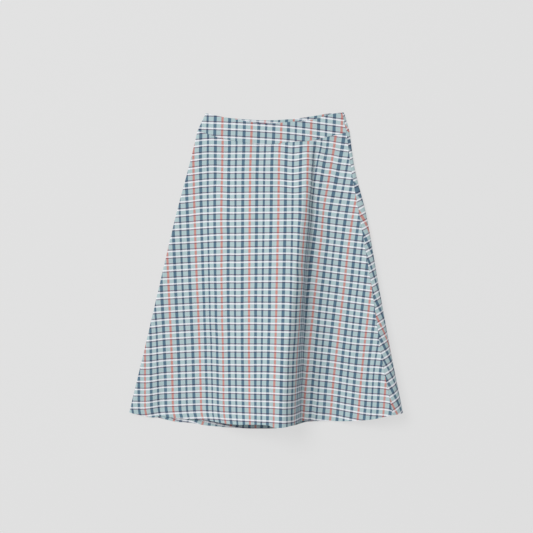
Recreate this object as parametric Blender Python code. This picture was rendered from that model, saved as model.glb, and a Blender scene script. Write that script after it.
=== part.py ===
"""A-line midi skirt of checked cotton lying face up, with one tall flute in its front.

A front panel, a back panel and a waistband in two halves, each a thin wall of its own. The back panel lies
flat and rolls up over the right side, and the front panel turns under at the left side, so the right side
seam lies on top and the left one underneath. X runs across the skirt, +Y runs to the waist, and Z rises
from the surface below. All sizes are in metres.
"""
from collections import namedtuple
import math

import bmesh
import bpy
import numpy as np

# Walls and gaps
CLOTH = 0.0012
HEM_CLOTH = 0.0024
BAND_CLOTH = 0.0020
HEM_SHARE = 0.05
HEM_STEP = 0.003
SEAM_GAP = 0.0003

# Levels down the skirt: -1 is the waist edge, 0 the waistband's lower seam and 1 the hem
LEVELS = (-1.0, 0.0, 0.12, 0.30, 0.55, 0.80, 1.0)

# Lines that run from the waist to the hem, left to right, with their place and height at each level
Line = namedtuple("Line", "name x z columns")
LINES = (
    Line("left fold",
         x=(-0.153, -0.173, -0.1935, -0.2270, -0.2685, -0.3095, -0.3435),
         z=(0.0060, 0.0060, 0.0060, 0.0065, 0.0070, 0.0090, 0.0110), columns=3),
    Line("left crease",
         x=(-0.122, -0.141, -0.171, -0.198, -0.228, -0.266, -0.271),
         z=(0.0085, 0.0070, 0.0062, 0.0060, 0.0060, 0.0060, 0.0060), columns=3),
    Line("foot of the rise",
         x=(-0.095, -0.111, -0.148, -0.176, -0.178, -0.173, -0.168),
         z=(0.0105, 0.0085, 0.0070, 0.0075, 0.0085, 0.0110, 0.0140), columns=4),
    Line("shoulder",
         x=(-0.070, -0.076, -0.092, -0.105, -0.104, -0.100, -0.097),
         z=(0.0115, 0.0105, 0.0165, 0.0300, 0.0455, 0.0560, 0.0600), columns=4),
    Line("middle of the rise",
         x=(-0.030, -0.034, -0.038, -0.042, -0.042, -0.042, -0.042),
         z=(0.0125, 0.0125, 0.0260, 0.0430, 0.0660, 0.0830, 0.0880), columns=6),
    Line("ridge",
         x=(0.092, 0.098, 0.094, 0.079, 0.058, 0.041, 0.034),
         z=(0.0130, 0.0135, 0.0320, 0.0620, 0.0960, 0.1230, 0.1360), columns=5),
    Line("brow",
         x=(0.099, 0.107, 0.108, 0.099, 0.080, 0.066, 0.059),
         z=(0.0128, 0.0133, 0.0260, 0.0480, 0.0770, 0.1000, 0.1130), columns=4),
    Line("foot of the flank",
         x=(0.112, 0.123, 0.124, 0.115, 0.104, 0.095, 0.090),
         z=(0.0125, 0.0110, 0.0095, 0.0130, 0.0230, 0.0310, 0.0340), columns=3),
    Line("trough",
         x=(0.140, 0.148, 0.150, 0.154, 0.158, 0.160, 0.160),
         z=(0.0115, 0.0095, 0.0064, 0.0050, 0.0050, 0.0050, 0.0055), columns=3),
    Line("foot of the wing",
         x=(0.155, 0.165, 0.170, 0.180, 0.191, 0.196, 0.198),
         z=(0.0112, 0.0095, 0.0070, 0.0075, 0.0110, 0.0170, 0.0220), columns=6),
    Line("side seam",
         x=(0.187, 0.198, 0.208, 0.229, 0.257, 0.280, 0.305),
         z=(0.0115, 0.0120, 0.0135, 0.0230, 0.0400, 0.0600, 0.0760), columns=0),
)
RIGHT_EDGE_X = (0.192, 0.206, 0.217, 0.247, 0.2765, 0.307, 0.334)
UNDER_WIDTH = (0.009, 0.009, 0.011, 0.016, 0.021, 0.025, 0.027)

# Curves across the skirt, a station to a row
Station = namedtuple("Station", "x front back")
WAIST_EDGE = (
    Station(x=-0.153, front=0.3935, back=0.3940),
    Station(x=-0.111, front=0.3838, back=0.3845),
    Station(x=-0.064, front=0.3750, back=0.3795),
    Station(x=-0.003, front=0.3668, back=0.3763),
    Station(x=0.059, front=0.3710, back=0.3793),
    Station(x=0.119, front=0.3780, back=0.3874),
    Station(x=0.159, front=0.3905, back=0.3936),
    Station(x=0.194, front=0.3955, back=0.3945),
)
BAND_SEAM = (
    Station(x=-0.172, front=0.3510, back=0.3510),
    Station(x=-0.149, front=0.3422, back=0.3440),
    Station(x=-0.109, front=0.3295, back=0.3340),
    Station(x=-0.056, front=0.3195, back=0.3260),
    Station(x=-0.005, front=0.3150, back=0.3230),
    Station(x=0.054, front=0.3200, back=0.3260),
    Station(x=0.106, front=0.3238, back=0.3300),
    Station(x=0.156, front=0.3355, back=0.3380),
    Station(x=0.210, front=0.3470, back=0.3480),
)
HEM = (
    Station(x=-0.346, front=-0.3515, back=-0.3515),
    Station(x=-0.312, front=-0.3600, back=-0.3595),
    Station(x=-0.284, front=-0.3655, back=-0.3645),
    Station(x=-0.268, front=-0.3625, back=-0.3672),
    Station(x=-0.226, front=-0.3665, back=-0.3766),
    Station(x=-0.191, front=-0.3686, back=-0.3792),
    Station(x=-0.158, front=-0.3692, back=-0.3850),
    Station(x=-0.120, front=-0.3718, back=-0.3888),
    Station(x=-0.075, front=-0.3730, back=-0.3922),
    Station(x=-0.044, front=-0.3706, back=-0.3935),
    Station(x=0.002, front=-0.3668, back=-0.3936),
    Station(x=0.009, front=-0.3698, back=-0.3935),
    Station(x=0.020, front=-0.3708, back=-0.3930),
    Station(x=0.066, front=-0.3687, back=-0.3860),
    Station(x=0.100, front=-0.3702, back=-0.3770),
    Station(x=0.170, front=-0.3740, back=-0.3720),
    Station(x=0.209, front=-0.3710, back=-0.3690),
    Station(x=0.255, front=-0.3640, back=-0.3620),
    Station(x=0.305, front=-0.3492, back=-0.3540),
    Station(x=0.336, front=-0.3415, back=-0.3460),
)

# Roll of the back panel over the right side, as a share of the side seam's height and from its crown
ROLL_AXIS_SHARE = 0.56
ROLL_SEAM_ANGLE = math.radians(70.0)
ROLL_UNDER_SHARE = 0.75

# Left fold, as wide as this share of its height
FOLD_WIDTH_SHARE = 0.6

# Mesh density
SKIRT_ROWS = 22
BAND_ROWS = 3
FOLD_COLUMNS = 6
STRIP_COLUMNS = 2
FLAT_COLUMNS = 10
ROLL_COLUMNS = 5

# Looks
SHARP_EDGE = math.radians(50.0)
Finish = namedtuple("Finish", "name colour roughness")
FINISHES = {
    "panel": Finish("checked_cotton", (0.43, 0.60, 0.60, 1.0), 0.85),
    "band": Finish("checked_cotton_band", (0.40, 0.57, 0.58, 1.0), 0.85),
}


def clear_scene():
    for item in list(bpy.data.objects):
        bpy.data.objects.remove(item, do_unlink=True)


def smooth(knots, values, at):
    """Reads a curve through the knots that never swings past them."""
    knots = np.asarray(knots, float)
    values = np.asarray(values, float)
    steps = np.diff(knots)
    slopes = np.diff(values) / steps
    tangents = np.empty_like(values)
    tangents[0] = slopes[0]
    tangents[-1] = slopes[-1]
    for i in range(1, len(values) - 1):
        before, after = slopes[i - 1], slopes[i]
        if before * after <= 0.0:
            tangents[i] = 0.0
        else:
            tangents[i] = 2.0 * before * after / (before + after)
    at = np.clip(at, knots[0], knots[-1])
    piece = np.clip(np.searchsorted(knots, at, side="right") - 1, 0, len(steps) - 1)
    share = (at - knots[piece]) / steps[piece]
    rest = 1.0 - share
    return (values[piece] * (1.0 + 2.0 * share) * rest ** 2
            + values[piece + 1] * (1.0 + 2.0 * rest) * share ** 2
            + (tangents[piece] * rest - tangents[piece + 1] * share) * share * rest * steps[piece])


def at_level(values, level):
    """Reads a row of LEVELS: straight in the waistband, and a smooth curve from its seam to the hem."""
    if level <= 0.0:
        return float(values[1] + (values[0] - values[1]) * -level)
    return float(smooth(LEVELS[1:], values[1:], level))


def across(stations, side, x):
    """Height on the page of a curve across the skirt."""
    return smooth([row.x for row in stations], [getattr(row, side) for row in stations], x)


def between(side, level, x_above, x_below, x_seam):
    """Y of points at one level, from where their column meets the curves above and below it."""
    if level <= 0.0:
        upper = across(WAIST_EDGE, side, x_above)
        lower = across(BAND_SEAM, side, x_seam)
        return lower + (upper - lower) * -level
    upper = across(BAND_SEAM, side, x_seam)
    lower = across(HEM, side, x_below)
    return upper + (lower - upper) * level


def front_section(level):
    """X and Z of the front's outer face, from the seam underneath, round the left fold, to the right seam."""
    places = [at_level(line.x, level) for line in LINES]
    heights = [at_level(line.z, level) for line in LINES]
    left = places[0]
    radius = 0.5 * heights[0]
    width = FOLD_WIDTH_SHARE * heights[0]
    strip = np.linspace(left + at_level(UNDER_WIDTH, level), left + width, STRIP_COLUMNS + 1)
    turn = np.linspace(0.0, math.pi, FOLD_COLUMNS + 1)[1:]
    x = list(strip) + list(left + width - width * np.sin(turn))
    z = [0.0] * len(strip) + list(radius - radius * np.cos(turn))
    knots = [left + width] + places[1:]
    for i, line in enumerate(LINES[:-1]):
        stretch = np.linspace(knots[i], knots[i + 1], line.columns + 1)[1:]
        x.extend(stretch)
        z.extend(smooth(knots, heights, stretch))
    return np.array(x), np.array(z)


def back_section(level):
    """X and Z of the back's outer face, from the right seam, round the roll and across to the seam underneath."""
    left = at_level(LINES[0].x, level) + at_level(UNDER_WIDTH, level) + SEAM_GAP
    seam = at_level(LINES[-1].x, level) + SEAM_GAP
    edge = at_level(RIGHT_EDGE_X, level)
    height = at_level(LINES[-1].z, level)
    axis = ROLL_AXIS_SHARE * height
    reach = (edge - seam) / (1.0 - math.cos(ROLL_SEAM_ANGLE))
    rise = (height - axis) / math.sin(ROLL_SEAM_ANGLE)
    under = ROLL_UNDER_SHARE * reach
    high = np.linspace(ROLL_SEAM_ANGLE, 0.0, ROLL_COLUMNS + 1)[:-1]
    low = np.linspace(0.5 * math.pi, 0.0, ROLL_COLUMNS + 1)[:-1]
    flat = np.linspace(edge - under, left, FLAT_COLUMNS + 1)
    x = np.concatenate([edge - reach + reach * np.cos(high), edge - under + under * np.sin(low), flat])
    z = np.concatenate([axis + rise * np.sin(high), axis - axis * np.cos(low), 0.0 * flat])
    return x, z


def front_grid(levels):
    """Outer points of the front, a row for each level."""
    x_above, _ = front_section(-1.0)
    x_seam, _ = front_section(0.0)
    x_below, _ = front_section(1.0)
    rows = []
    for level in levels:
        x, z = front_section(level)
        y = between("front", level, x_above, x_below, x_seam)
        rows.append(np.stack([x, y, z], axis=1))
    return np.array(rows)


def back_grid(levels):
    """Outer points of the back, which meets the front level with it at both side seams."""
    x_above, _ = back_section(-1.0)
    x_seam, _ = back_section(0.0)
    x_below, _ = back_section(1.0)
    share = np.zeros(len(x_seam))
    share[:ROLL_COLUMNS] = np.linspace(1.0, 0.0, ROLL_COLUMNS + 1)[:-1]
    rows = []
    for level, front_row in zip(levels, front_grid(levels)):
        x, z = back_section(level)
        y = between("back", level, x_above, x_below, x_seam)
        at_edge = y[ROLL_COLUMNS]
        at_seam = front_row[-1, 1]
        y = np.where(share > 0.0, at_edge + (at_seam - at_edge) * share, y)
        y[-1] = front_row[0, 1]
        rows.append(np.stack([x, y, z], axis=1))
    return np.array(rows)


def normals(grid):
    """Unit normals out of the cloth's outer face, squared up along its edges so that seams stay open."""
    down = np.gradient(grid, axis=0)
    along = np.gradient(grid, axis=1)
    out = np.cross(down, along)
    out[[0, -1], :, 1] = 0.0
    out[:, [0, -1], 0] = 0.0
    return out / np.linalg.norm(out, axis=2, keepdims=True)


def cloth_wall(name, grid, depths, finish):
    """Closed wall between a grid of outer points and the same points moved in by each row's depth."""
    rows, columns = grid.shape[:2]
    inner = grid - normals(grid) * np.asarray(depths)[:, None, None]
    mesh = bmesh.new()
    outside = [[mesh.verts.new(point) for point in row] for row in grid]
    inside = [[mesh.verts.new(point) for point in row] for row in inner]
    for i in range(rows - 1):
        for j in range(columns - 1):
            mesh.faces.new((outside[i][j], outside[i + 1][j], outside[i + 1][j + 1], outside[i][j + 1]))
            mesh.faces.new((inside[i][j], inside[i][j + 1], inside[i + 1][j + 1], inside[i + 1][j]))
    for j in range(columns - 1):
        mesh.faces.new((outside[0][j], outside[0][j + 1], inside[0][j + 1], inside[0][j]))
        mesh.faces.new((outside[-1][j + 1], outside[-1][j], inside[-1][j], inside[-1][j + 1]))
    for i in range(rows - 1):
        mesh.faces.new((outside[i + 1][0], outside[i][0], inside[i][0], inside[i + 1][0]))
        mesh.faces.new((outside[i][-1], outside[i + 1][-1], inside[i + 1][-1], inside[i][-1]))
    data = bpy.data.meshes.new(name)
    mesh.to_mesh(data)
    mesh.free()
    data.shade_smooth()
    data.set_sharp_from_angle(angle=SHARP_EDGE)
    data.materials.append(material(finish))
    piece = bpy.data.objects.new(name, data)
    bpy.context.scene.collection.objects.link(piece)
    return piece


def material(finish):
    """Plain cloth colour of one kind of piece."""
    found = bpy.data.materials.get(finish.name)
    if found:
        return found
    made = bpy.data.materials.new(finish.name)
    made.use_nodes = True
    shader = made.node_tree.nodes["Principled BSDF"]
    shader.inputs["Base Color"].default_value = finish.colour
    shader.inputs["Roughness"].default_value = finish.roughness
    shader.inputs["Metallic"].default_value = 0.0
    return made


def panel_levels():
    """Levels from the waistband's seam to the hem, with a close pair where the turned-up hem ends."""
    seam = 0.5 * SEAM_GAP / abs(HEM[0].front - BAND_SEAM[0].front)
    body = np.linspace(seam, 1.0 - HEM_SHARE - HEM_STEP, SKIRT_ROWS)
    return list(body) + [1.0 - HEM_SHARE, 1.0 - 0.5 * HEM_SHARE, 1.0]


def panel_depths(levels):
    turned_up_from = 1.0 - HEM_SHARE - 0.5 * HEM_STEP
    return [HEM_CLOTH if level > turned_up_from else CLOTH for level in levels]


def band_levels():
    """Levels from the waist edge to the waistband's seam."""
    seam = 0.5 * SEAM_GAP / abs(WAIST_EDGE[0].front - BAND_SEAM[0].front)
    return list(np.linspace(-1.0, -seam, BAND_ROWS + 1))


def build_panels():
    levels = panel_levels()
    depths = panel_depths(levels)
    cloth_wall("skirt_front", front_grid(levels), depths, FINISHES["panel"])
    cloth_wall("skirt_back", back_grid(levels), depths, FINISHES["panel"])


def build_waistband():
    levels = band_levels()
    depths = [BAND_CLOTH] * len(levels)
    cloth_wall("waistband_front", front_grid(levels), depths, FINISHES["band"])
    cloth_wall("waistband_back", back_grid(levels), depths, FINISHES["band"])


def main():
    clear_scene()
    build_panels()
    build_waistband()


main()
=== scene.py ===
"""Looks of a checked cotton A-line midi skirt that lies face up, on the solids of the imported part.

Each piece of the cut is a thin shell on the form of its solid, with the smaller creases added. X runs
across the skirt, +Y runs to the waist, and Z rises from the floor. All sizes are in metres.
"""
from collections import namedtuple
import math

import bpy
import numpy as np
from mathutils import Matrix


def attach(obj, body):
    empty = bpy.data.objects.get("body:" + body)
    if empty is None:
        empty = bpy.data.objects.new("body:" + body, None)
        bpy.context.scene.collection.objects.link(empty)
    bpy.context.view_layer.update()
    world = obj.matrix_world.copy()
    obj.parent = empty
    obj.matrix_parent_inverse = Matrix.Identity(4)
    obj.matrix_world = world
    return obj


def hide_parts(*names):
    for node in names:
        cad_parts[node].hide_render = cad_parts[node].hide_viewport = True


# Form, as in the part's source, at levels down the skirt: -1 the waist edge, 0 the band's seam and 1 the hem
LEVELS = (-1.0, 0.0, 0.12, 0.30, 0.55, 0.80, 1.0)
HEM_SHARE = 0.05
HEM_STEP = 0.003
SEAM_GAP = 0.0003

Line = namedtuple("Line", "name x z columns")
LINES = (
    Line("left fold",
         x=(-0.153, -0.173, -0.1935, -0.2270, -0.2685, -0.3095, -0.3435),
         z=(0.0060, 0.0060, 0.0060, 0.0065, 0.0070, 0.0090, 0.0110), columns=18),
    Line("left crease",
         x=(-0.122, -0.141, -0.171, -0.198, -0.228, -0.266, -0.271),
         z=(0.0085, 0.0070, 0.0062, 0.0060, 0.0060, 0.0060, 0.0060), columns=30),
    Line("foot of the rise",
         x=(-0.095, -0.111, -0.148, -0.176, -0.178, -0.173, -0.168),
         z=(0.0105, 0.0085, 0.0070, 0.0075, 0.0085, 0.0110, 0.0140), columns=18),
    Line("shoulder",
         x=(-0.070, -0.076, -0.092, -0.105, -0.104, -0.100, -0.097),
         z=(0.0115, 0.0105, 0.0165, 0.0300, 0.0455, 0.0560, 0.0600), columns=18),
    Line("middle of the rise",
         x=(-0.030, -0.034, -0.038, -0.042, -0.042, -0.042, -0.042),
         z=(0.0125, 0.0125, 0.0260, 0.0430, 0.0660, 0.0830, 0.0880), columns=26),
    Line("ridge",
         x=(0.092, 0.098, 0.094, 0.079, 0.058, 0.041, 0.034),
         z=(0.0130, 0.0135, 0.0320, 0.0620, 0.0960, 0.1230, 0.1360), columns=26),
    Line("brow",
         x=(0.099, 0.107, 0.108, 0.099, 0.080, 0.066, 0.059),
         z=(0.0128, 0.0133, 0.0260, 0.0480, 0.0770, 0.1000, 0.1130), columns=16),
    Line("foot of the flank",
         x=(0.112, 0.123, 0.124, 0.115, 0.104, 0.095, 0.090),
         z=(0.0125, 0.0110, 0.0095, 0.0130, 0.0230, 0.0310, 0.0340), columns=18),
    Line("trough",
         x=(0.140, 0.148, 0.150, 0.154, 0.158, 0.160, 0.160),
         z=(0.0115, 0.0095, 0.0064, 0.0050, 0.0050, 0.0050, 0.0055), columns=14),
    Line("foot of the wing",
         x=(0.155, 0.165, 0.170, 0.180, 0.191, 0.196, 0.198),
         z=(0.0112, 0.0095, 0.0070, 0.0075, 0.0110, 0.0170, 0.0220), columns=26),
    Line("side seam",
         x=(0.187, 0.198, 0.208, 0.229, 0.257, 0.280, 0.305),
         z=(0.0115, 0.0120, 0.0135, 0.0230, 0.0400, 0.0600, 0.0760), columns=0),
)
RIGHT_EDGE_X = (0.192, 0.206, 0.217, 0.247, 0.2765, 0.307, 0.334)
UNDER_WIDTH = (0.009, 0.009, 0.011, 0.016, 0.021, 0.025, 0.027)

Station = namedtuple("Station", "x front back")
WAIST_EDGE = (
    Station(x=-0.153, front=0.3935, back=0.3940),
    Station(x=-0.111, front=0.3838, back=0.3845),
    Station(x=-0.064, front=0.3750, back=0.3795),
    Station(x=-0.003, front=0.3668, back=0.3763),
    Station(x=0.059, front=0.3710, back=0.3793),
    Station(x=0.119, front=0.3780, back=0.3874),
    Station(x=0.159, front=0.3905, back=0.3936),
    Station(x=0.194, front=0.3955, back=0.3945),
)
BAND_SEAM = (
    Station(x=-0.172, front=0.3510, back=0.3510),
    Station(x=-0.149, front=0.3422, back=0.3440),
    Station(x=-0.109, front=0.3295, back=0.3340),
    Station(x=-0.056, front=0.3195, back=0.3260),
    Station(x=-0.005, front=0.3150, back=0.3230),
    Station(x=0.054, front=0.3200, back=0.3260),
    Station(x=0.106, front=0.3238, back=0.3300),
    Station(x=0.156, front=0.3355, back=0.3380),
    Station(x=0.210, front=0.3470, back=0.3480),
)
HEM = (
    Station(x=-0.346, front=-0.3515, back=-0.3515),
    Station(x=-0.312, front=-0.3600, back=-0.3595),
    Station(x=-0.284, front=-0.3655, back=-0.3645),
    Station(x=-0.268, front=-0.3625, back=-0.3672),
    Station(x=-0.226, front=-0.3665, back=-0.3766),
    Station(x=-0.191, front=-0.3686, back=-0.3792),
    Station(x=-0.158, front=-0.3692, back=-0.3850),
    Station(x=-0.120, front=-0.3718, back=-0.3888),
    Station(x=-0.075, front=-0.3730, back=-0.3922),
    Station(x=-0.044, front=-0.3706, back=-0.3935),
    Station(x=0.002, front=-0.3668, back=-0.3936),
    Station(x=0.009, front=-0.3698, back=-0.3935),
    Station(x=0.020, front=-0.3708, back=-0.3930),
    Station(x=0.066, front=-0.3687, back=-0.3860),
    Station(x=0.100, front=-0.3702, back=-0.3770),
    Station(x=0.170, front=-0.3740, back=-0.3720),
    Station(x=0.209, front=-0.3710, back=-0.3690),
    Station(x=0.255, front=-0.3640, back=-0.3620),
    Station(x=0.305, front=-0.3492, back=-0.3540),
    Station(x=0.336, front=-0.3415, back=-0.3460),
)
ROLL_AXIS_SHARE = 0.56
ROLL_SEAM_ANGLE = math.radians(70.0)
ROLL_UNDER_SHARE = 0.75
FOLD_WIDTH_SHARE = 0.6

# Shell thickness, mesh density, and the columns where the front's left fold turns and where it ends
CLOTH = 0.0009
HEM_CLOTH = 0.0020
BAND_CLOTH = 0.0018
SKIRT_ROWS = 168
HEM_ROWS = 10
BAND_ROWS = 12
STRIP_COLUMNS = 6
FOLD_COLUMNS = 12
FOLD_EDGE = STRIP_COLUMNS + FOLD_COLUMNS // 2
FOLD_END = STRIP_COLUMNS + FOLD_COLUMNS
ROLL_COLUMNS = 16
FLAT_COLUMNS = 120
SHARP_ANGLE = math.radians(60.0)

# Small creases in the front, as soft ridges where they rise and troughs where they sink
Crease = namedtuple("Crease", "x0 y0 x1 y1 width rise")
CREASES = (
    Crease(x0=-0.286, y0=-0.200, x1=-0.297, y1=-0.375, width=0.016, rise=0.0022),
    Crease(x0=-0.254, y0=-0.220, x1=-0.266, y1=-0.375, width=0.011, rise=-0.0030),
    Crease(x0=-0.020, y0=0.236, x1=0.072, y1=0.228, width=0.014, rise=-0.0030),
    Crease(x0=0.086, y0=0.300, x1=0.112, y1=0.250, width=0.014, rise=0.0025),
    Crease(x0=-0.168, y0=0.338, x1=-0.120, y1=0.318, width=0.005, rise=-0.0016),
    Crease(x0=-0.150, y0=0.330, x1=-0.112, y1=0.306, width=0.006, rise=0.0012),
    Crease(x0=0.148, y0=0.328, x1=0.196, y1=0.322, width=0.005, rise=-0.0016),
    Crease(x0=0.150, y0=0.316, x1=0.196, y1=0.306, width=0.006, rise=0.0012),
    Crease(x0=0.008, y0=-0.270, x1=0.008, y1=-0.400, width=0.0045, rise=-0.0040),
    Crease(x0=-0.265, y0=-0.310, x1=-0.272, y1=-0.400, width=0.005, rise=-0.0010),
    Crease(x0=0.127, y0=0.330, x1=0.106, y1=0.120, width=0.006, rise=-0.0040),
    Crease(x0=0.112, y0=0.170, x1=0.087, y1=-0.500, width=0.009, rise=-0.0040),
    Crease(x0=-0.120, y0=0.100, x1=-0.150, y1=-0.160, width=0.022, rise=0.0016),
    Crease(x0=0.190, y0=0.120, x1=0.215, y1=-0.240, width=0.018, rise=0.0018),
)
CREASE_END = 0.25
EDGE_CALM = 0.030

# Ripples all over the front, each with its waves to the metre across and down, its height and its phase
Ripple = namedtuple("Ripple", "across down height phase")
RIPPLES = (
    Ripple(across=7.0, down=2.6, height=0.00050, phase=0.4),
    Ripple(across=-11.0, down=4.1, height=0.00035, phase=2.1),
    Ripple(across=4.0, down=-9.0, height=0.00030, phase=4.4),
    Ripple(across=17.0, down=6.5, height=0.00016, phase=1.2),
)

# Check, in repeats: where each stripe lies across a warp repeat and down a weft repeat
WARP_REPEAT = 0.0710
WEFT_REPEAT = 0.0338
Stripe = namedtuple("Stripe", "centre width")
CORAL_STRIPE = Stripe(centre=0.10, width=0.078)
WIDE_STRIPES = (Stripe(centre=0.342, width=0.106), Stripe(centre=0.850, width=0.106))
THIN_STRIPE = Stripe(centre=0.590, width=0.074)
WARP_SHIFT = 0.11
WHITE_STRIPES = (Stripe(centre=0.10, width=0.096), Stripe(centre=0.708, width=0.096))
GREY_STRIPES = (Stripe(centre=0.203, width=0.056), Stripe(centre=0.592, width=0.056))
WEFT_SHIFT = 0.10
STRIPE_EDGE = 0.007

# Yarn colours, in sRGB from 0 to 255
GROUND = (183, 206, 209)
NAVY = (91, 121, 142)
THIN_NAVY = (90, 117, 138)
CORAL = (206, 147, 140)
WHITE = (250, 249, 255)
GREY_TINT = (190, 146, 168)
WHITE_OVER = {"ground": 0.92, "navy": 0.66, "coral": 0.66}

# Yarns: how many run in a repeat, their relief, and the slubs where they thicken
WARP_YARNS = 118.0
WEFT_YARNS = 56.0
YARN_RELIEF = 0.00010
SLUB_RELIEF = 0.00025
SLUB_SCALE = (34.0, 5.0)
SLUB_DETAIL = 3.0

# Uneven dye, as streaks along the warp, streaks along the weft and soft patches, from darkest to palest
Dye = namedtuple("Dye", "scale darkest palest")
DYES = (
    Dye(scale=(95.0, 1.6), darkest=0.93, palest=1.05),
    Dye(scale=(2.2, 46.0), darkest=0.93, palest=1.05),
    Dye(scale=(2.3, 1.1), darkest=0.97, palest=1.02),
)
DYE_DETAIL = 2.0

# Cloth's surface
LEAST_ROUGHNESS = 0.74
MOST_ROUGHNESS = 0.90
SHEEN_WEIGHT = 0.60
SHEEN_ROUGHNESS = 0.22
SHEEN_TINT = (0.74, 0.76, 1.0, 1.0)
CLOTH_SPECULAR = 0.25

# Grain of each piece: the angle in degrees by which its wefts fall to the right, at places across the page
FRONT_GRAIN = ((-0.400, -3.3), (-0.150, -3.3), (-0.100, 0.0), (0.085, 0.0), (0.125, 7.6), (0.400, 7.6))
BACK_GRAIN = ((-0.400, -2.0), (-0.100, -2.0), (0.000, 0.0), (0.190, 0.0), (0.275, 6.0), (0.500, 6.0))
BAND_GRAIN = ((-0.200, 1.8), (-0.090, 3.0), (0.000, 3.8), (0.060, 5.6), (0.130, 7.5), (0.250, 7.5))
BAND_BACK_GRAIN = ((-0.200, 4.0), (0.250, 4.0))
GRAIN_REACH = 0.6
GRAIN_PLACES = 1201

# Where a coral stripe runs on each piece, on the front at each level, and how high a white one crosses it
FRONT_CORAL_X = (-0.0369, -0.0386, -0.0412, -0.0418, -0.0430, -0.0425, -0.0410)
FRONT_WHITE_Y = 0.1775
BAND_WHITE_Y = 0.3479
BACK_CORAL_X = -0.0304
BACK_WHITE_Y = -0.3910
BAND_BACK_CORAL_X = -0.0350
BAND_BACK_WHITE_Y = 0.3719

# Stretch of the bands' warp repeat, the heights that the grain turns about, and how much of a climb counts
BAND_STRETCH = 1.036
BAND_BACK_STRETCH = 1.010
WAIST_Y = 0.330
BACK_MIDDLE_Y = -0.067
CLIMB_SHARE = 0.15

# Pulls along lines on the page: how far they draw the threads down the cloth, or to the right along it
Pull = namedtuple("Pull", "x0 y0 x1 y1 width down right")
BACK_PULLS = (
    Pull(x0=0.262, y0=-0.080, x1=0.222, y1=0.420, width=0.050, down=0.0, right=-0.0130),
)
FRONT_PULLS = (
    Pull(x0=0.100, y0=0.120, x1=0.099, y1=-0.500, width=0.010, down=0.0034, right=0.0),
    Pull(x0=0.126, y0=0.330, x1=0.128, y1=0.220, width=0.016, down=-0.0030, right=0.0),
    Pull(x0=0.062, y0=0.345, x1=0.068, y1=0.160, width=0.022, down=0.0040, right=0.0),
    Pull(x0=0.160, y0=0.345, x1=0.158, y1=0.200, width=0.014, down=-0.0020, right=0.0),
    Pull(x0=0.136, y0=0.315, x1=0.124, y1=0.135, width=0.014, down=0.0, right=-0.0045),
    Pull(x0=-0.148, y0=0.400, x1=-0.165, y1=0.080, width=0.030, down=-0.0026, right=0.0),
    Pull(x0=-0.120, y0=0.120, x1=-0.110, y1=-0.400, width=0.020, down=0.0018, right=0.0),
    Pull(x0=0.000, y0=-0.120, x1=0.030, y1=-0.560, width=0.045, down=-0.0032, right=0.0),
    Pull(x0=0.265, y0=-0.100, x1=0.320, y1=-0.520, width=0.040, down=-0.0068, right=0.0),
    Pull(x0=0.285, y0=-0.170, x1=0.300, y1=-0.520, width=0.032, down=0.0, right=-0.0062),
    Pull(x0=0.102, y0=0.200, x1=0.060, y1=-0.170, width=0.016, down=0.0020, right=0.0),
    Pull(x0=-0.071, y0=0.120, x1=-0.073, y1=-0.200, width=0.020, down=0.0011, right=0.0),
    Pull(x0=-0.285, y0=-0.060, x1=-0.312, y1=-0.500, width=0.024, down=0.0024, right=0.0),
    Pull(x0=0.168, y0=0.400, x1=0.150, y1=0.070, width=0.026, down=0.0, right=-0.0060),
    Pull(x0=0.185, y0=0.080, x1=0.230, y1=-0.420, width=0.060, down=0.0, right=0.0013),
    Pull(x0=-0.130, y0=0.240, x1=-0.110, y1=0.080, width=0.030, down=0.0, right=-0.0012),
    Pull(x0=-0.135, y0=-0.080, x1=-0.125, y1=-0.360, width=0.030, down=0.0, right=-0.0010),
    Pull(x0=-0.440, y0=-0.366, x1=-0.020, y1=-0.380, width=0.018, down=0.0, right=0.0050),
    Pull(x0=-0.294, y0=-0.070, x1=-0.356, y1=-0.500, width=0.025, down=0.0, right=0.0060),
    Pull(x0=-0.700, y0=-0.350, x1=0.700, y1=-0.350, width=0.045, down=-0.0026, right=0.0),
    Pull(x0=-0.135, y0=0.300, x1=-0.110, y1=0.120, width=0.022, down=-0.0016, right=0.0),
    Pull(x0=0.090, y0=0.140, x1=0.084, y1=-0.030, width=0.014, down=0.0, right=-0.0045),
)

# Record for the cut of a piece, with no seam allowance: its widest and longest, and its area; no piece's cut
# is given here
Cut = namedtuple("Cut", "width length area")

# Camera, floor and light
CAMERA_PLACE = (-0.0012, 0.0112, 2.5)
SENSOR_WIDTH = 36.0
VIEW_WIDTH = 1.3325
FLOOR_SIZE = 12.0
FLOOR_DROP = 0.0006
FLOOR_COLOUR = (0.14, 0.14, 0.14, 1.0)
FLOOR_ROUGHNESS = 0.9
FLOOR_GLOW = 0.62
LAMP_PLACE = (-2.7, 2.6, 6.5)
LAMP_SIZE = 3.4
LAMP_POWER = 336.0
SKY_STRENGTH = 0.42
PURE_WHITE = (1.0, 1.0, 1.0, 1.0)


def smooth(knots, values, at):
    """Reads a curve through the knots that never swings past them."""
    knots = np.asarray(knots, float)
    values = np.asarray(values, float)
    steps = np.diff(knots)
    slopes = np.diff(values) / steps
    tangents = np.empty_like(values)
    tangents[0] = slopes[0]
    tangents[-1] = slopes[-1]
    for i in range(1, len(values) - 1):
        before, after = slopes[i - 1], slopes[i]
        if before * after <= 0.0:
            tangents[i] = 0.0
        else:
            tangents[i] = 2.0 * before * after / (before + after)
    at = np.clip(at, knots[0], knots[-1])
    piece = np.clip(np.searchsorted(knots, at, side="right") - 1, 0, len(steps) - 1)
    share = (at - knots[piece]) / steps[piece]
    rest = 1.0 - share
    return (values[piece] * (1.0 + 2.0 * share) * rest ** 2
            + values[piece + 1] * (1.0 + 2.0 * rest) * share ** 2
            + (tangents[piece] * rest - tangents[piece + 1] * share) * share * rest * steps[piece])


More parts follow.
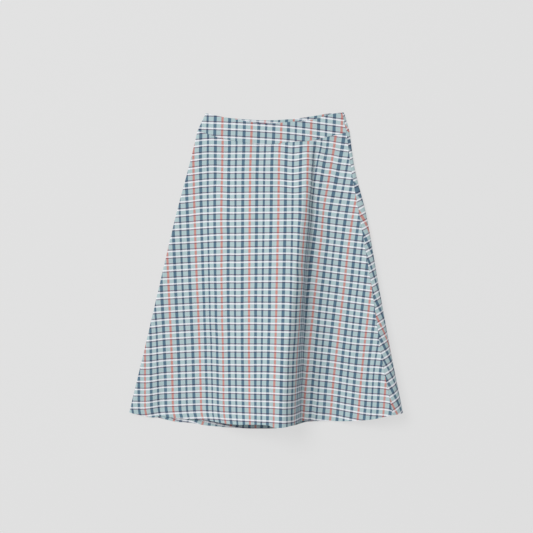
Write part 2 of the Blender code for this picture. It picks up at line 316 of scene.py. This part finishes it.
def at_level(values, level):
    """Reads a row of LEVELS: straight in the waistband, and a smooth curve from its seam to the hem."""
    if level <= 0.0:
        return float(values[1] + (values[0] - values[1]) * -level)
    return float(smooth(LEVELS[1:], values[1:], level))


def across(stations, side, x):
    """Height on the page of a curve across the skirt."""
    return smooth([row.x for row in stations], [getattr(row, side) for row in stations], x)


def between(side, level, x_above, x_below, x_seam):
    """Y of points at one level, from where their column meets the curves above and below it."""
    if level <= 0.0:
        upper = across(WAIST_EDGE, side, x_above)
        lower = across(BAND_SEAM, side, x_seam)
        return lower + (upper - lower) * -level
    upper = across(BAND_SEAM, side, x_seam)
    lower = across(HEM, side, x_below)
    return upper + (lower - upper) * level


def front_section(level):
    """X and Z of the front's outer face, from the seam underneath, round the left fold, to the side seam."""
    places = [at_level(line.x, level) for line in LINES]
    heights = [at_level(line.z, level) for line in LINES]
    left = places[0]
    radius = 0.5 * heights[0]
    width = FOLD_WIDTH_SHARE * heights[0]
    strip = np.linspace(left + at_level(UNDER_WIDTH, level), left + width, STRIP_COLUMNS + 1)
    turn = np.linspace(0.0, math.pi, FOLD_COLUMNS + 1)[1:]
    x = list(strip) + list(left + width - width * np.sin(turn))
    z = [0.0] * len(strip) + list(radius - radius * np.cos(turn))
    knots = [left + width] + places[1:]
    for i, line in enumerate(LINES[:-1]):
        stretch = np.linspace(knots[i], knots[i + 1], line.columns + 1)[1:]
        x.extend(stretch)
        z.extend(smooth(knots, heights, stretch))
    return np.array(x), np.array(z)


def back_section(level):
    """X and Z of the back's outer face, from the side seam, round the roll, to the seam underneath."""
    left = at_level(LINES[0].x, level) + at_level(UNDER_WIDTH, level) + SEAM_GAP
    seam = at_level(LINES[-1].x, level) + SEAM_GAP
    edge = at_level(RIGHT_EDGE_X, level)
    height = at_level(LINES[-1].z, level)
    axis = ROLL_AXIS_SHARE * height
    reach = (edge - seam) / (1.0 - math.cos(ROLL_SEAM_ANGLE))
    rise = (height - axis) / math.sin(ROLL_SEAM_ANGLE)
    under = ROLL_UNDER_SHARE * reach
    high = np.linspace(ROLL_SEAM_ANGLE, 0.0, ROLL_COLUMNS + 1)[:-1]
    low = np.linspace(0.5 * math.pi, 0.0, ROLL_COLUMNS + 1)[:-1]
    flat = np.linspace(edge - under, left, FLAT_COLUMNS + 1)
    x = np.concatenate([edge - reach + reach * np.cos(high), edge - under + under * np.sin(low), flat])
    z = np.concatenate([axis + rise * np.sin(high), axis - axis * np.cos(low), 0.0 * flat])
    return x, z


def front_grid(levels):
    """Outer points of the front, a row for each level."""
    x_above, _ = front_section(-1.0)
    x_seam, _ = front_section(0.0)
    x_below, _ = front_section(1.0)
    rows = []
    for level in levels:
        x, z = front_section(level)
        y = between("front", level, x_above, x_below, x_seam)
        rows.append(np.stack([x, y, z], axis=1))
    return np.array(rows)


def back_grid(levels):
    """Outer points of the back, which meets the front level with it at both side seams."""
    x_above, _ = back_section(-1.0)
    x_seam, _ = back_section(0.0)
    x_below, _ = back_section(1.0)
    share = np.zeros(len(x_seam))
    share[:ROLL_COLUMNS] = np.linspace(1.0, 0.0, ROLL_COLUMNS + 1)[:-1]
    rows = []
    for level, front_row in zip(levels, front_grid(levels)):
        x, z = back_section(level)
        y = between("back", level, x_above, x_below, x_seam)
        at_edge = y[ROLL_COLUMNS]
        at_seam = front_row[-1, 1]
        y = np.where(share > 0.0, at_edge + (at_seam - at_edge) * share, y)
        y[-1] = front_row[0, 1]
        rows.append(np.stack([x, y, z], axis=1))
    return np.array(rows)


def normals(grid):
    """Unit normals out of the cloth's outer face, squared up along its edges so that seams stay open."""
    down = np.gradient(grid, axis=0)
    along = np.gradient(grid, axis=1)
    out = np.cross(down, along)
    out[[0, -1], :, 1] = 0.0
    out[:, [0, -1], 0] = 0.0
    return out / np.linalg.norm(out, axis=2, keepdims=True)


def panel_levels():
    """Levels from the waistband's seam to the hem, with a close pair where the turned-up hem ends."""
    seam = 0.5 * SEAM_GAP / abs(HEM[0].front - BAND_SEAM[0].front)
    body = np.linspace(seam, 1.0 - HEM_SHARE - HEM_STEP, SKIRT_ROWS)
    return np.concatenate([body, np.linspace(1.0 - HEM_SHARE, 1.0, HEM_ROWS)])


def band_levels():
    """Levels from the waist edge to the waistband's seam."""
    seam = 0.5 * SEAM_GAP / abs(WAIST_EDGE[0].front - BAND_SEAM[0].front)
    return np.linspace(-1.0, -seam, BAND_ROWS + 1)


def ease(share):
    """Smooth step from 0 to 1."""
    share = np.clip(share, 0.0, 1.0)
    return share * share * (3.0 - 2.0 * share)


def along_line(line, x, y):
    """Strength of a crease or pull at places on the page, which fades to its sides and towards its ends."""
    run = np.array([line.x1 - line.x0, line.y1 - line.y0])
    length = np.linalg.norm(run)
    along = ((x - line.x0) * run[0] + (y - line.y0) * run[1]) / length ** 2
    aside = ((y - line.y0) * run[0] - (x - line.x0) * run[1]) / length
    fade = ease(along / CREASE_END) * ease((1.0 - along) / CREASE_END)
    return fade * np.exp(-(aside / line.width) ** 2)


def relief(x, y):
    """Height of the creases and ripples at places on the page."""
    height = np.zeros_like(x)
    for crease in CREASES:
        height += crease.rise * along_line(crease, x, y)
    for wave in RIPPLES:
        height += wave.height * np.sin(2.0 * math.pi * (wave.across * x + wave.down * y) + wave.phase)
    return height


def creased(grid):
    """The front's grid with its relief, which dies away at the left fold and at the side seam."""
    x, y = grid[:, :, 0], grid[:, :, 1]
    left = x[:, FOLD_END][:, None]
    right = x[:, -1][:, None]
    calm = ease((x - left) / EDGE_CALM) * ease((right - x) / EDGE_CALM)
    calm[:, :FOLD_END] = 0.0
    return grid + normals(grid) * (relief(x, y) * calm)[:, :, None]


def opened_out(grid, edge, side):
    """Places on the page as if the columns that turn over an edge column were opened out flat."""
    flat = grid[:, :, :2].copy()
    top, bottom = grid[0, edge, :2], grid[-1, edge, :2]
    down = (bottom - top) / np.linalg.norm(bottom - top)
    out = side * np.array([-down[1], down[0]])
    steps = np.linalg.norm(np.diff(grid[:, :edge + 1], axis=1), axis=2)
    arc = np.cumsum(steps[:, ::-1], axis=1)[:, ::-1]
    along = (grid[:, :edge, :2] - top) @ down
    flat[:, :edge] = top + along[:, :, None] * down + (arc * abs(out[0]))[:, :, None] * out
    return flat


def grain_at(grain, x):
    """Angle of the wefts at places across the page, and its sine and cosine summed up from the middle."""
    fine = np.linspace(-GRAIN_REACH, GRAIN_REACH, GRAIN_PLACES)
    angles = np.radians(smooth([row[0] for row in grain], [row[1] for row in grain], fine))
    step = fine[1] - fine[0]
    sines = np.concatenate([[0.0], np.cumsum(0.5 * (np.sin(angles[1:]) + np.sin(angles[:-1])))]) * step
    cosines = np.concatenate([[0.0], np.cumsum(0.5 * (np.cos(angles[1:]) + np.cos(angles[:-1])))]) * step
    sines -= np.interp(0.0, fine, sines)
    cosines -= np.interp(0.0, fine, cosines)
    return np.interp(x, fine, angles), np.interp(x, fine, sines), np.interp(x, fine, cosines)


def up_the_warp(grid, flat, grain):
    """Distance up the warp of every point, which counts a share of what the cloth climbs on its folds."""
    angle, sines, _ = grain_at(grain, flat[:, :, 0])
    steps = np.diff(grid, axis=0)
    climb = np.linalg.norm(steps, axis=2) - np.linalg.norm(steps[:, :, :2], axis=2)
    climbed = np.concatenate([np.zeros((1, grid.shape[1])), np.cumsum(climb, axis=0)])
    return WAIST_Y + (flat[:, :, 1] - WAIST_Y) * np.cos(angle) + sines - CLIMB_SHARE * climbed


def drawn(weave, grid, pulls):
    """Weave coordinates with the pulls in them."""
    x, y = grid[:, :, 0], grid[:, :, 1]
    for pull in pulls:
        strength = along_line(pull, x, y)
        weave[:, :, 0] -= pull.right * strength / WARP_REPEAT
        weave[:, :, 1] -= pull.down * strength / WEFT_REPEAT
    return weave


def front_weave(grid, grain, levels, white_y, stretch=1.0):
    """Weave coordinates of a front piece, in repeats from a coral stripe and a white stripe."""
    flat = opened_out(grid, FOLD_EDGE, -1.0)
    up = up_the_warp(grid, flat, grain)
    length = np.linalg.norm(np.diff(grid, axis=1), axis=2)
    step = np.sqrt(np.maximum(length ** 2 - np.diff(up, axis=1) ** 2, 0.0))
    along = np.concatenate([np.zeros((len(grid), 1)), np.cumsum(step, axis=1)], axis=1)
    for i, level in enumerate(levels):
        coral = at_level(FRONT_CORAL_X, level)
        along[i] -= np.interp(coral, grid[i, FOLD_EDGE:, 0], along[i, FOLD_EDGE:])
    return np.stack([along / (WARP_REPEAT * stretch), (white_y - up) / WEFT_REPEAT], axis=2)


def back_weave(grid, grain, coral_x, white_y, stretch=1.0):
    """Weave coordinates of a back piece, which has no flute to take up its turn of grain."""
    flat = opened_out(grid, ROLL_COLUMNS, 1.0)
    angle, _, cosines = grain_at(grain, flat[:, :, 0])
    up = up_the_warp(grid, flat, grain)
    along = cosines - coral_x - (flat[:, :, 1] - BACK_MIDDLE_Y) * np.sin(angle)
    return np.stack([along / (WARP_REPEAT * stretch), (white_y - up) / WEFT_REPEAT], axis=2)


def turned_up(weave):
    """Weave coordinates of the hem's turned-up cloth: the panel's own, mirrored over the hem's edge."""
    size = np.array([WARP_REPEAT, WEFT_REPEAT])
    place = weave * size
    hem = place[-1]
    edge = np.gradient(hem, axis=0)
    edge /= np.linalg.norm(edge, axis=1, keepdims=True)
    off = place - hem
    along = np.sum(off * edge, axis=2, keepdims=True)
    return (hem + 2.0 * along * edge - off) / size


def grid_faces(rows, columns, first, flipped):
    """Corner numbers of the quads of one grid of points."""
    index = first + np.arange(rows * columns).reshape(rows, columns)
    quads = np.stack([index[:-1, :-1], index[1:, :-1], index[1:, 1:], index[:-1, 1:]], axis=2)
    if flipped:
        quads = quads[:, :, ::-1]
    return quads.reshape(-1, 4)


def border_faces(rows, columns):
    """Corner numbers of the strips that close a shell along its four borders."""
    outside = np.arange(rows * columns).reshape(rows, columns)
    inside = outside + rows * columns
    strips = []
    for row, flip in ((0, False), (-1, True)):
        strips.append((outside[row], inside[row], flip))
    for column, flip in ((0, True), (-1, False)):
        strips.append((outside[:, column], inside[:, column], flip))
    quads = []
    for outer, inner, flip in strips:
        strip = np.stack([outer[:-1], outer[1:], inner[1:], inner[:-1]], axis=1)
        quads.append(strip[:, ::-1] if flip else strip)
    return np.concatenate(quads)


def shell_faces(rows, columns):
    """Corner numbers of a closed shell's faces: its outside, then its inside, then its borders."""
    outside = grid_faces(rows, columns, 0, False)
    inside = grid_faces(rows, columns, rows * columns, True)
    return np.concatenate([outside, inside, border_faces(rows, columns)])


def corner_places(weave, faces, hem_row):
    """Weave coordinates at every face's corners, where the inside of a hem shows its turned-up cloth."""
    rows, columns = weave.shape[:2]
    numbers = faces.ravel()
    flat_weave = weave.reshape(-1, 2)
    places = np.concatenate([flat_weave, flat_weave])[numbers]
    if hem_row is not None:
        mirrored = turned_up(weave).reshape(-1, 2)
        on_hem = np.repeat(np.arange(rows - 1) >= hem_row, columns - 1)
        chosen = np.flatnonzero(on_hem) + len(on_hem)
        corners = (chosen[:, None] * 4 + np.arange(4)).ravel()
        places[corners] = mirrored[numbers[corners] - rows * columns]
    return places


def shell(name, grid, depths, weave, material, hem_row=None):
    """Thin shell of cloth under a grid of outer points, with its weave coordinates as a UV map."""
    inner = grid - normals(grid) * np.asarray(depths)[:, None, None]
    points = np.concatenate([grid.reshape(-1, 3), inner.reshape(-1, 3)])
    faces = shell_faces(*grid.shape[:2])
    mesh = bpy.data.meshes.new(name)
    mesh.from_pydata(points.tolist(), [], faces.tolist())
    layer = mesh.uv_layers.new(name="weave")
    layer.data.foreach_set("uv", corner_places(weave, faces, hem_row).astype(np.float32).ravel())
    mesh.shade_smooth()
    mesh.set_sharp_from_angle(angle=SHARP_ANGLE)
    mesh.materials.append(material)
    piece = bpy.data.objects.new(name, mesh)
    bpy.context.scene.collection.objects.link(piece)
    return piece


def linear(colour):
    """sRGB colour from 0 to 255 as linear light, with alpha."""
    shares = [value / 255.0 for value in colour]
    made = [s / 12.92 if s <= 0.04045 else ((s + 0.055) / 1.055) ** 2.4 for s in shares]
    return (*made, 1.0)


class Graph:
    """A material's nodes, made one call at a time."""

    mix_colours_in = (6, 7)
    mix_colour_out = 2

    def __init__(self, material):
        self.nodes = material.node_tree.nodes
        self.links = material.node_tree.links

    def add(self, kind, **settings):
        """Adds a node with its settings."""
        node = self.nodes.new(kind)
        for name, value in settings.items():
            setattr(node, name, value)
        return node

    def feed(self, socket, value):
        """Links another node's socket to a socket, or sets a value on it."""
        if isinstance(value, bpy.types.NodeSocket):
            self.links.new(value, socket)
        else:
            socket.default_value = value

    def maths(self, operation, *values):
        """One step of arithmetic on values or sockets."""
        node = self.add("ShaderNodeMath", operation=operation)
        for socket, value in zip(node.inputs, values):
            self.feed(socket, value)
        return node.outputs[0]

    def mix(self, factor, first, second, blend="MIX"):
        """Mixes two colours."""
        node = self.add("ShaderNodeMix", data_type="RGBA", blend_type=blend)
        self.feed(node.inputs["Factor"], factor)
        for place, colour in zip(self.mix_colours_in, (first, second)):
            self.feed(node.inputs[place], colour)
        return node.outputs[self.mix_colour_out]

    def spread(self, value, low, high):
        """Spreads a value from 0 to 1 between two others."""
        node = self.add("ShaderNodeMapRange")
        self.feed(node.inputs["Value"], value)
        node.inputs["To Min"].default_value = low
        node.inputs["To Max"].default_value = high
        return node.outputs["Result"]

    def noise(self, place, scale, detail):
        """Soft noise from 0 to 1, drawn out by a different scale each way."""
        stretched = self.add("ShaderNodeVectorMath", operation="MULTIPLY")
        self.feed(stretched.inputs[0], place)
        stretched.inputs[1].default_value = (*scale, 0.0)
        node = self.add("ShaderNodeTexNoise", noise_dimensions="2D")
        self.feed(node.inputs["Vector"], stretched.outputs[0])
        node.inputs["Scale"].default_value = 1.0
        node.inputs["Detail"].default_value = detail
        return node.outputs["Fac"]

    def bump(self, height, distance, before=None):
        """Relief from a height of 0 to 1, laid over the relief before it."""
        node = self.add("ShaderNodeBump")
        self.feed(node.inputs["Height"], height)
        node.inputs["Distance"].default_value = distance
        if before is not None:
            self.feed(node.inputs["Normal"], before)
        return node.outputs[0]

    def ramp(self, place, ground, stripes):
        """Colours along a repeat: a ground, with (stripe, colour) pairs from left to right on it."""
        node = self.add("ShaderNodeValToRGB")
        self.feed(node.inputs[0], place)
        stops = []
        for stripe, colour in stripes:
            half = 0.5 * stripe.width
            stops.append((stripe.centre - half - STRIPE_EDGE, ground))
            stops.append((stripe.centre - half + STRIPE_EDGE, colour))
            stops.append((stripe.centre + half - STRIPE_EDGE, colour))
            stops.append((stripe.centre + half + STRIPE_EDGE, ground))
        ramp = node.color_ramp
        while len(ramp.elements) < len(stops):
            ramp.elements.new(0.5)
        for element, (position, colour) in zip(ramp.elements, stops):
            element.position = position
            element.color = colour
        return node.outputs[0]


def shade(value):
    """Grey of a given strength, for a ramp that is read as a number."""
    return (value, value, value, 1.0)


def warp_layout(coral, wide, thin):
    """The warp stripes of one repeat, left to right, each with what it carries."""
    return (
        (CORAL_STRIPE, coral),
        (WIDE_STRIPES[0], wide),
        (THIN_STRIPE, thin),
        (WIDE_STRIPES[1], wide),
    )


def check_colour(graph, across_place, down_place):
    """Colour of the woven check, from places in its repeat."""
    plain = graph.ramp(across_place, linear(GROUND),
                       warp_layout(linear(CORAL), linear(NAVY), linear(THIN_NAVY)))
    over = graph.ramp(across_place, shade(WHITE_OVER["ground"]),
                      warp_layout(shade(WHITE_OVER["coral"]), shade(WHITE_OVER["navy"]),
                                  shade(WHITE_OVER["navy"])))
    white = graph.ramp(down_place, shade(0.0), [(stripe, shade(1.0)) for stripe in WHITE_STRIPES])
    grey = graph.ramp(down_place, shade(0.0), [(stripe, shade(1.0)) for stripe in GREY_STRIPES])
    with_grey = graph.mix(grey, plain, linear(GREY_TINT), blend="MULTIPLY")
    return graph.mix(graph.maths("MULTIPLY", over, white), with_grey, linear(WHITE))


def shaded(graph, colour, place):
    """The check with its dye uneven along single yarns and from patch to patch."""
    for dye in DYES:
        factor = graph.spread(graph.noise(place, dye.scale, DYE_DETAIL), dye.darkest, dye.palest)
        colour = graph.mix(1.0, colour, factor, blend="MULTIPLY")
    return colour


def yarn_relief(graph, across_place, down_place):
    """Height of the plain weave, from 0 to 1, where warp and weft yarns pass over each other in turn."""
    warp = graph.maths("SINE", graph.maths("MULTIPLY", across_place, WARP_YARNS * math.pi))
    weft = graph.maths("SINE", graph.maths("MULTIPLY", down_place, WEFT_YARNS * math.pi))
    return graph.maths("MULTIPLY_ADD", graph.maths("MULTIPLY", warp, weft), 0.5, 0.5)


def checked_cotton(name):
    """Yarn-dyed cotton with a soft dry hand, its threads and slubs following the weave coordinates."""
    material = bpy.data.materials.new(name)
    material.use_nodes = True
    graph = Graph(material)
    shader = graph.nodes["Principled BSDF"]
    place = graph.add("ShaderNodeUVMap", uv_map="weave")
    apart = graph.add("ShaderNodeSeparateXYZ")
    graph.feed(apart.inputs[0], place.outputs[0])
    across_place = graph.maths("FRACT", graph.maths("ADD", apart.outputs[0], WARP_SHIFT))
    down_place = graph.maths("FRACT", graph.maths("ADD", apart.outputs[1], WEFT_SHIFT))
    colour = check_colour(graph, across_place, down_place)
    colour = shaded(graph, colour, place.outputs[0])
    graph.feed(shader.inputs["Base Color"], colour)
    slubs = graph.noise(place.outputs[0], SLUB_SCALE, SLUB_DETAIL)
    graph.feed(shader.inputs["Roughness"], graph.spread(slubs, LEAST_ROUGHNESS, MOST_ROUGHNESS))
    relief_of_slubs = graph.bump(slubs, SLUB_RELIEF)
    yarns = yarn_relief(graph, apart.outputs[0], apart.outputs[1])
    graph.feed(shader.inputs["Normal"], graph.bump(yarns, YARN_RELIEF, relief_of_slubs))
    shader.inputs["Sheen Weight"].default_value = SHEEN_WEIGHT
    shader.inputs["Sheen Roughness"].default_value = SHEEN_ROUGHNESS
    shader.inputs["Sheen Tint"].default_value = SHEEN_TINT
    shader.inputs["Specular IOR Level"].default_value = CLOTH_SPECULAR
    return material


def add_camera():
    """Camera that looks straight down on the skirt, and sees what the photo shows."""
    data = bpy.data.cameras.new("camera")
    data.sensor_width = SENSOR_WIDTH
    data.lens = SENSOR_WIDTH * CAMERA_PLACE[2] / VIEW_WIDTH
    camera = bpy.data.objects.new("camera", data)
    camera.location = CAMERA_PLACE
    bpy.context.scene.collection.objects.link(camera)
    bpy.context.scene.camera = camera


def add_floor():
    """Plain pale floor, just under the skirt."""
    half = 0.5 * FLOOR_SIZE
    corners = [(-half, -half, -FLOOR_DROP), (half, -half, -FLOOR_DROP),
               (half, half, -FLOOR_DROP), (-half, half, -FLOOR_DROP)]
    mesh = bpy.data.meshes.new("floor")
    mesh.from_pydata(corners, [], [(0, 1, 2, 3)])
    material = bpy.data.materials.new("floor")
    material.use_nodes = True
    shader = material.node_tree.nodes["Principled BSDF"]
    shader.inputs["Base Color"].default_value = FLOOR_COLOUR
    shader.inputs["Roughness"].default_value = FLOOR_ROUGHNESS
    shader.inputs["Specular IOR Level"].default_value = 0.0
    shader.inputs["Emission Color"].default_value = PURE_WHITE
    shader.inputs["Emission Strength"].default_value = FLOOR_GLOW
    mesh.materials.append(material)
    floor = bpy.data.objects.new("floor", mesh)
    bpy.context.scene.collection.objects.link(floor)


def add_lamp():
    """Soft round lamp, high to the waist's left and turned to the skirt's middle."""
    data = bpy.data.lights.new("lamp", "AREA")
    data.shape = "DISK"
    data.size = LAMP_SIZE
    data.energy = LAMP_POWER
    lamp = bpy.data.objects.new("lamp", data)
    x, y, z = LAMP_PLACE
    lamp.location = LAMP_PLACE
    lamp.rotation_euler = (math.atan2(math.hypot(x, y), z), 0.0, math.atan2(x, -y))
    bpy.context.scene.collection.objects.link(lamp)


def add_studio():
    """Even light from all round, and colours shown as they are."""
    world = bpy.data.worlds.new("studio")
    world.use_nodes = True
    sky = world.node_tree.nodes["Background"]
    sky.inputs["Color"].default_value = PURE_WHITE
    sky.inputs["Strength"].default_value = SKY_STRENGTH
    bpy.context.scene.world = world
    bpy.context.scene.view_settings.view_transform = "Standard"


def dress(piece, node):
    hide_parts(node)
    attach(piece, "root")


def build_panels(material):
    """The front and back panels, with their hems turned up."""
    levels = panel_levels()
    depths = [CLOTH] * SKIRT_ROWS + [HEM_CLOTH] * HEM_ROWS
    plain = front_grid(levels)
    weave = drawn(front_weave(plain, FRONT_GRAIN, levels, FRONT_WHITE_Y), plain, FRONT_PULLS)
    front = shell("front_panel", creased(plain), depths, weave, material, hem_row=SKIRT_ROWS)
    dress(front, "skirt_front")
    grid = back_grid(levels)
    weave = drawn(back_weave(grid, BACK_GRAIN, BACK_CORAL_X, BACK_WHITE_Y), grid, BACK_PULLS)
    back = shell("back_panel", grid, depths, weave, material, hem_row=SKIRT_ROWS)
    dress(back, "skirt_back")


def build_waistband(material):
    """The front and back halves of the waistband."""
    levels = band_levels()
    depths = [BAND_CLOTH] * len(levels)
    plain = front_grid(levels)
    weave = front_weave(plain, BAND_GRAIN, levels, BAND_WHITE_Y, BAND_STRETCH)
    front = shell("front_waistband", creased(plain), depths, weave, material)
    dress(front, "waistband_front")
    grid = back_grid(levels)
    weave = back_weave(grid, BAND_BACK_GRAIN, BAND_BACK_CORAL_X, BAND_BACK_WHITE_Y, BAND_BACK_STRETCH)
    back = shell("back_waistband", grid, depths, weave, material)
    dress(back, "waistband_back")


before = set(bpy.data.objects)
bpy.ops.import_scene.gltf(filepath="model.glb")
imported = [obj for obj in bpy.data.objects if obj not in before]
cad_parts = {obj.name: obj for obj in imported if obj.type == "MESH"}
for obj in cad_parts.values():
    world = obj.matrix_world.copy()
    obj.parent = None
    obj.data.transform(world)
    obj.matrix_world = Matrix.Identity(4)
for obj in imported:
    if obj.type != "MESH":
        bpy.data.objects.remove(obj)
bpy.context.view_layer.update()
cotton = checked_cotton("checked_cotton")
build_panels(cotton)
build_waistband(cotton)
add_camera()
add_floor()
add_lamp()
add_studio()
